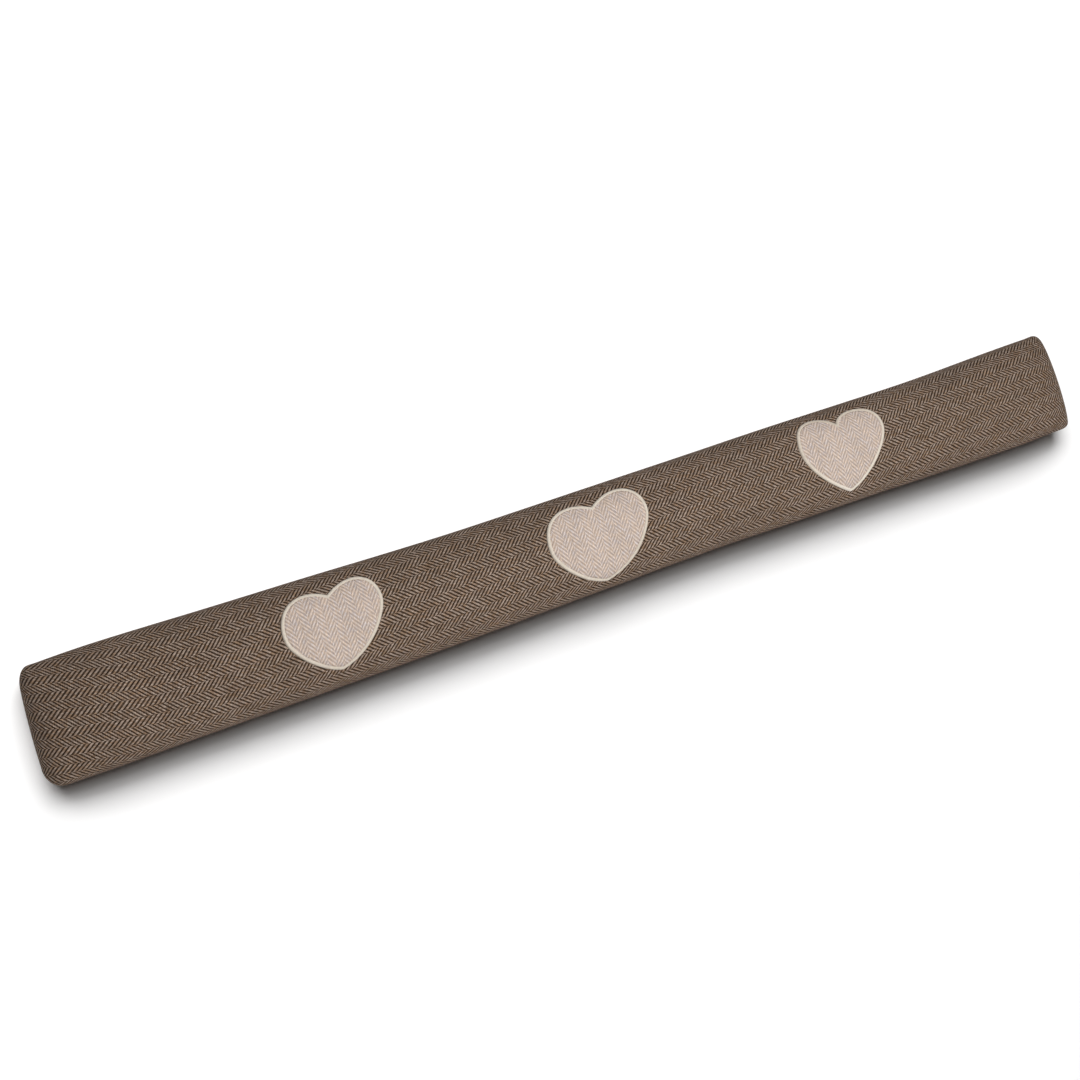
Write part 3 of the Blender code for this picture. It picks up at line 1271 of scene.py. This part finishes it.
@dataclass
class StitchedHeart:
    """One heart: its sheet of pale cloth and the satin stitching round it.

    The band's profile gives shares of the border's width and height, from the outer edge to the inner one.
    """

    place: HeartPlace
    cushion: Cushion
    cloth_material: bpy.types.Material
    thread_material: bpy.types.Material
    border_width: float = 0.0034
    border_rise: float = 0.0011
    profile: tuple[tuple[float, float], ...] = ((0.0, 0.0), (0.10, 0.45), (0.30, 0.88), (0.55, 1.0),
                                                (0.80, 0.95), (1.0, 0.72), (1.0, 0.0))
    band_tone: float = 0.3
    gap: float = 0.00035
    cloth_thickness: float = 0.0012
    band_lean: float = 0.04
    overlap: float = 0.0004
    puff: float = 0.0006
    puff_power: int = 6
    rings: int = 18
    curve_steps: int = 36
    stitch_spacing: float = 0.00052
    stitch_radius: float = 0.00032
    stitch_gap: float = 0.0002
    seed: int = 7

    def on_cover(self, flat: np.ndarray, height: Any) -> tuple[np.ndarray, np.ndarray]:
        """Lay points of the flat heart on the cover, at heights above it."""
        at = self.place.at + flat[:, 0] + self.place.lean * flat[:, 1]
        return self.cushion.laid(at, self.place.across + flat[:, 1], height)

    def build(self) -> list[bpy.types.Object]:
        """Build the heart's sheet and its stitching.

        Returns:
            The sheet and its stitching.
        """
        whole = heart_outline(self.place, self.curve_steps)
        cut = inset(whole, self.border_width - self.overlap)
        sheet = self.build_cloth(cut)
        stitching = self.build_stitching(whole)
        LOG.info("%s: %d faces", stitching.name, len(stitching.data.polygons))
        return [sheet, stitching]

    def build_cloth(self, cut: np.ndarray) -> bpy.types.Object:
        """Build the heart's sheet as rings that shrink to its centre, below and above.

        Args:
            cut: The edge of the flat cloth.

        Returns:
            The sheet.
        """
        count = len(cut)
        shares = np.linspace(1.0, 0.0, self.rings + 1)[:-1]
        flat = np.concatenate([cut * share for share in shares] + [np.zeros((1, 2))])
        size = len(flat)
        swell = np.append(np.repeat(1.0 - shares**self.puff_power, count), 1.0)
        lower, _ = self.on_cover(flat, self.gap)
        upper, _ = self.on_cover(flat, self.gap + self.cloth_thickness + self.puff * swell)
        faces = []
        for base in (0, size):
            starts = [base + ring * count for ring in range(self.rings)]
            for outer, inner in zip(starts, starts[1:]):
                faces += ring_faces(outer, inner, count) if base else ring_faces(inner, outer, count)
            for i in range(count):
                face = (starts[-1] + i, starts[-1] + (i + 1) % count, base + size - 1)
                faces.append(face if base else face[::-1])
        faces += ring_faces(0, size, count)
        sheet = mesh_object(f"heart_{self.place.name}_cloth", np.concatenate([lower, upper]), faces)
        face_outwards(sheet.data)
        slant = (self.place.lean - self.band_lean) * flat[:, 1]
        map_points = np.tile(np.stack([flat[:, 0] + slant, flat[:, 1]], axis=-1), (2, 1))
        loops = np.empty(len(sheet.data.loops), np.int32)
        sheet.data.loops.foreach_get("vertex_index", loops)
        set_uv(sheet.data, map_points[loops])
        # Painted light: a share that lightens the cloth next to the border at the lobes, fading over the inner
        # rings, against the shade there
        lobes = np.maximum(unit(cut)[:, 1], 0.0)
        painted_rim_lights = np.append(np.outer(np.exp(-np.arange(self.rings)), lobes), 0.0)
        set_attribute(sheet.data, "painted_rim_light", np.tile(painted_rim_lights, 2))
        sheet.data.shade_smooth()
        sheet.data.materials.append(self.cloth_material)
        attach(sheet, "root")
        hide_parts(f"heart_{self.place.name}")
        return sheet

    def build_stitching(self, outline: np.ndarray) -> bpy.types.Object:
        """Build the raised band, sew the satin stitches over it and join them.

        Args:
            outline: The heart's outline on flat cloth.

        Returns:
            The stitching.
        """
        parts = (self.build_band(outline), self.build_stitches(outline))
        joined = bmesh.new()
        for part in parts:
            joined.from_mesh(part.data)
            bpy.data.objects.remove(part, do_unlink=True)
        mesh = bpy.data.meshes.new(f"border_{self.place.name}_stitching")
        joined.to_mesh(mesh)
        joined.free()
        mesh.materials.append(self.thread_material)
        for polygon in mesh.polygons:
            polygon.material_index = 0
        piece = link_mesh(mesh)
        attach(piece, "root")
        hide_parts(f"border_{self.place.name}")
        return piece

    def build_band(self, outline: np.ndarray) -> bpy.types.Object:
        """Build the smooth band under the stitches.

        Args:
            outline: The heart's outline on flat cloth.

        Returns:
            The band.
        """
        top = self.gap + self.border_rise
        count = len(outline)
        rings = []
        faces = []
        for i, (inward, upward) in enumerate(self.profile):
            points, _ = self.on_cover(inset(outline, inward * self.border_width), self.gap / 2 + upward * top)
            rings.append(points)
            faces += ring_faces(i * count, (i + 1) % len(self.profile) * count, count)
        band = mesh_object("band", np.concatenate(rings), faces)
        # Painted light: the band under the stitches is made lighter on the side of the border that catches the
        # light
        tones = self.band_tone + unit(outline) @ np.array(self.place.painted_light_side)
        set_attribute(band.data, "tone", np.tile(tones, len(self.profile)))
        return band

    def build_stitches(self, outline: np.ndarray) -> bpy.types.Object:
        """Place one point for each stitch and let Geometry Nodes sew them.

        Args:
            outline: The heart's outline on flat cloth.

        Returns:
            The stitches as a plain mesh.
        """
        places = even_points(inset(outline, self.border_width / 2), self.stitch_spacing)
        outer_flat = read_between(outline, places)
        inner_flat = read_between(inset(outline, self.border_width), places)
        outer, _ = self.on_cover(outer_flat, self.stitch_gap)
        inner, _ = self.on_cover(inner_flat, self.gap + self.cloth_thickness + self.stitch_gap)
        _, lifts = self.on_cover((outer_flat + inner_flat) / 2, self.gap)
        carrier = mesh_object("stitches", (outer + inner) / 2, [])
        set_attribute(carrier.data, "across", unit(inner - outer))
        set_attribute(carrier.data, "lift", lifts)
        set_attribute(carrier.data, "reach", np.linalg.norm(inner - outer, axis=1))
        # Painted light: each stitch is made lighter on the side of the border that catches the light
        set_attribute(carrier.data, "painted_light", unit(outer_flat) @ np.array(self.place.painted_light_side))
        tree = StitchTree().build()
        sewing = carrier.modifiers.new("sewing", "NODES")
        sewing.node_group = tree
        wanted = {"Radius": self.stitch_radius, "Rise": self.border_rise, "Seed": self.seed,
                  "Thread": self.thread_material}
        for item in tree.interface.items_tree:
            if item.item_type == "SOCKET" and item.in_out == "INPUT" and item.name in wanted:
                sewing[item.identifier] = wanted[item.name]
        apply_modifiers(carrier)
        return carrier


class StitchTree(NodeMaker):
    """The Geometry Nodes tree that sews one arched stitch at each point.

    The twist, stretch, swell and tone limit each stitch's random turn, length, height and paleness.
    """

    inputs = (("Geometry", "Geometry"), ("Radius", "Float"), ("Rise", "Float"), ("Seed", "Int"),
              ("Thread", "Material"))
    arch_points = 7
    arch_rise = 1.9
    thin_ends = 0.45
    thin_power = 6.0
    thread_sides = 6
    twist = (-0.05, 0.05)
    stretch = (0.98, 1.05)
    swell = (0.92, 1.08)
    tone = (0.25, 0.75)

    def __init__(self) -> None:
        """Make the tree with its named inputs."""
        super().__init__(bpy.data.node_groups.new("satin_sewing", "GeometryNodeTree"))
        interface = self.tree.interface
        for name, kind in self.inputs:
            interface.new_socket(name, in_out="INPUT", socket_type=f"NodeSocket{kind}")
        interface.new_socket("Geometry", in_out="OUTPUT", socket_type="NodeSocketGeometry")
        self.group = self.tree.nodes.new("NodeGroupInput")

    def given(self, name: str) -> Wire:
        """Return one of the tree's inputs."""
        return Wire(self, self.group.outputs[name])

    def attribute(self, name: str, kind: str) -> Wire:
        """Return a named attribute of the points."""
        return self.node("GeometryNodeInputNamedAttribute", {"data_type": kind}, {"Name": name}, "Attribute")

    def random(self, limits: tuple[float, float], seed_step: float) -> Wire:
        """Return a random number for each point."""
        values = {"Min_001": limits[0], "Max_001": limits[1], "Seed": self.given("Seed") + seed_step}
        return self.node("FunctionNodeRandomValue", {"data_type": "FLOAT"}, values, "Value_001")

    def build(self) -> bpy.types.NodeTree:
        """Build the tree.

        Returns:
            The finished tree.
        """
        arch = self.node("GeometryNodeCurveQuadraticBezier", {}, {
            "Resolution": self.arch_points, "Start": (0.0, -0.5, 0.0), "End": (0.0, 0.5, 0.0),
            "Middle": self.vector(0.0, 0.0, self.given("Rise") * self.arch_rise)})
        off_middle = self.node("GeometryNodeSplineParameter", {}, {}, "Factor") * 2.0 - 1.0
        tapered = self.node("GeometryNodeSetCurveRadius", {}, {
            "Curve": arch, "Radius": 1.0 - off_middle**self.thin_power * self.thin_ends})
        profile = self.node("GeometryNodeCurvePrimitiveCircle", {}, {
            "Resolution": self.thread_sides, "Radius": self.given("Radius")})
        stitch = self.node("GeometryNodeCurveToMesh", {}, {
            "Curve": tapered, "Profile Curve": profile, "Fill Caps": True})
        first = self.node("FunctionNodeAlignRotationToVector", {"axis": "Y"}, {
            "Vector": self.attribute("across", "FLOAT_VECTOR")})
        second = self.node("FunctionNodeAlignRotationToVector", {"axis": "Z", "pivot_axis": "Y"}, {
            "Rotation": first, "Vector": self.attribute("lift", "FLOAT_VECTOR")})
        turned = self.node("FunctionNodeRotateRotation", {"rotation_space": "LOCAL"}, {
            "Rotation": second, "Rotate By": self.vector(0.0, 0.0, self.random(self.twist, 1.0))})
        length = self.attribute("reach", "FLOAT") * self.random(self.stretch, 2.0)
        placed = self.node("GeometryNodeMeshToPoints", {}, {"Mesh": self.given("Geometry")})
        sewn = self.node("GeometryNodeInstanceOnPoints", {}, {
            "Points": placed, "Instance": stitch, "Rotation": turned,
            "Scale": self.vector(1.0, length, self.random(self.swell, 3.0))})
        # Each stitch's tone is its random paleness plus the painted light of its side of the border
        toned = self.node("GeometryNodeStoreNamedAttribute", {"data_type": "FLOAT", "domain": "INSTANCE"}, {
            "Geometry": sewn, "Name": "tone",
            "Value": self.attribute("painted_light", "FLOAT") + self.random(self.tone, 4.0)})
        real = self.node("GeometryNodeRealizeInstances", {}, {"Geometry": toned})
        dressed = self.node("GeometryNodeSetMaterial", {}, {
            "Geometry": real, "Material": self.given("Thread")})
        output = self.tree.nodes.new("NodeGroupOutput")
        self.tree.links.new(dressed.socket, output.inputs[0])
        return self.tree


@dataclass(frozen=True)
class SoftBox:
    """One large soft light, aimed at a point."""

    name: str
    place: tuple[float, float, float]
    aim: tuple[float, float, float]
    size: tuple[float, float]
    power: float
    colour: Colour = WHITE

    def build(self, lit: bpy.types.Collection) -> bpy.types.Object:
        """Build the light.

        Args:
            lit: The collection of objects that it lights.

        Returns:
            The light.
        """
        light = bpy.data.lights.new(self.name, "AREA")
        light.shape = "RECTANGLE"
        light.size, light.size_y = self.size
        light.energy = self.power
        light.color = self.colour
        lamp = bpy.data.objects.new(self.name, light)
        lamp.location = self.place
        direction = Vector(self.aim) - Vector(self.place)
        lamp.rotation_mode = "QUATERNION"
        lamp.rotation_quaternion = direction.to_track_quat("-Z", "Y")
        lamp.visible_camera = False
        bpy.context.scene.collection.objects.link(lamp)
        lamp.light_linking.receiver_collection = lit
        return lamp


@dataclass(frozen=True)
class Studio:
    """The camera, the pale floor and the soft lights."""

    focal_length: float = 71.355
    sensor_width: float = 36.0
    clip: tuple[float, float] = (0.05, 60.0)
    camera_place: tuple[float, float, float] = (-0.8093, 0.0075, 2.1045)
    side_tilt: float = math.radians(20.0)
    forward_tilt: float = math.radians(0.213)
    roll: float = math.radians(-18.817)
    floor_half_size: float = 2.0
    ambient: float = 0.055
    ambient_colour: Colour = (1.0, 0.89, 0.84)
    light_distance: float = 12.0
    light_width: float = 14.0
    floor_finish: FloorFinish = FloorFinish("pale_floor", colour=(0.90, 0.90, 0.90))
    top_light: SoftBox = SoftBox("top_light", place=(0.20, -0.26, 2.3), aim=(0.1, 0.0, 0.0), size=(1.9, 0.9),
                                 power=57.0, colour=(1.0, 0.985, 0.965))

    def build_camera(self) -> None:
        """Set the camera at the photo's angle."""
        lens = bpy.data.cameras.new("camera")
        lens.lens = self.focal_length
        lens.sensor_width = self.sensor_width
        lens.clip_start, lens.clip_end = self.clip
        camera = bpy.data.objects.new("camera", lens)
        camera.matrix_world = Matrix.Translation(self.camera_place)
        for angle, axis in ((-self.side_tilt, "Y"), (self.forward_tilt, "X"), (self.roll, "Z")):
            camera.matrix_world = camera.matrix_world @ Matrix.Rotation(angle, 4, axis)
        bpy.context.scene.collection.objects.link(camera)
        bpy.context.scene.camera = camera

    def build_floor(self) -> bpy.types.Object:
        """Lay the floor.

        Returns:
            The floor.
        """
        corners = np.array([(-1, -1, 0), (1, -1, 0), (1, 1, 0), (-1, 1, 0)]) * self.floor_half_size
        floor = mesh_object("floor", corners, [(0, 1, 2, 3)])
        floor.data.materials.append(self.floor_finish.material())
        return floor

    def aimed_at_floor(self, light: FloorLight) -> SoftBox:
        """Return a wide light from the back that spans its range of angles.

        Args:
            light: The light's angles, and its power for each square metre of its face.

        Returns:
            The light.
        """
        low, high = math.radians(light.low_angle), math.radians(light.high_angle)
        middle = (low + high) / 2
        place = (0.0, self.light_distance * math.sin(middle), self.light_distance * math.cos(middle))
        depth = 2 * self.light_distance * math.tan((high - low) / 2)
        power = light.strength * self.light_width * depth
        return SoftBox(light.name, place, (0.0, 0.0, 0.0), (self.light_width, depth), power)

    def build_lights(self, floor: bpy.types.Object, pieces: list[bpy.types.Object]) -> None:
        """Light the floor from the back and the object from above.

        Args:
            floor: The floor.
            pieces: The object's pieces.
        """
        lit = {}
        for name, objects in (("floor", [floor]), ("object", pieces)):
            lit[name] = bpy.data.collections.new(f"{name}_light_receivers")
            for item in objects:
                lit[name].objects.link(item)
        for light in FLOOR_LIGHTS:
            self.aimed_at_floor(light).build(lit["floor"])
        self.top_light.build(lit["object"])

    def build_world(self) -> None:
        """Show the camera a white background, and light the scene dimly from all sides."""
        world = bpy.data.worlds.new("studio")
        bpy.context.scene.world = world
        world.use_nodes = True
        maker = NodeMaker(world.node_tree)
        seen = maker.node("ShaderNodeLightPath", {}, {}, "Is Camera Ray")
        dim = tuple(self.ambient * channel for channel in self.ambient_colour)
        shown = maker.blend(seen, dim, WHITE)
        maker.tree.links.new(shown.socket, maker.tree.nodes["Background"].inputs["Color"])
        bpy.context.scene.view_settings.view_transform = "Standard"


BROWN_TWEED = HerringboneFinish(
    name="brown_herringbone_tweed",
    run=BandRun.ALONG,
    thread=0.001125,
    pick=0.001205,
    light=((0.345, 0.232, 0.155), (0.362, 0.273, 0.218), (0.450, 0.357, 0.295)),
    dark=((0.030, 0.017, 0.009), (0.046, 0.027, 0.016), (0.068, 0.042, 0.026)),
    shade=0.45,
    relief=0.0004,
    unevenness=0.42,
    fleck=(0.52, 0.38, 0.27),
)

PALE_TWEED = HerringboneFinish(
    name="pale_herringbone_tweed",
    run=BandRun.ACROSS,
    thread=0.00103,
    pick=0.00122,
    light=((0.730, 0.665, 0.650), (0.730, 0.625, 0.555), (0.790, 0.655, 0.555)),
    dark=((0.485, 0.405, 0.385), (0.500, 0.395, 0.335), (0.560, 0.430, 0.345)),
    shade=0.22,
    relief=0.0003,
    unevenness=0.22,
    fleck=(0.80, 0.66, 0.55),
)

IVORY_THREAD = SatinFinish("ivory_satin_thread", ((0.610, 0.535, 0.445), (0.900, 0.845, 0.755)))


def main() -> None:
    """Build the dressed draught excluder, its floor, its lights and its camera."""
    logging.basicConfig(level=logging.INFO, format="%(name)s: %(message)s")
    studio = Studio()
    studio.build_camera()
    cushion = Cushion(CushionForm(), BROWN_TWEED)
    pieces = [cushion.build()]
    pale = PALE_TWEED.material()
    thread = IVORY_THREAD.material()
    for place in HEARTS:
        pieces += StitchedHeart(place, cushion, pale, thread).build()
    floor = studio.build_floor()
    studio.build_lights(floor, pieces)
    studio.build_world()


if __name__ == "__main__":
    main()
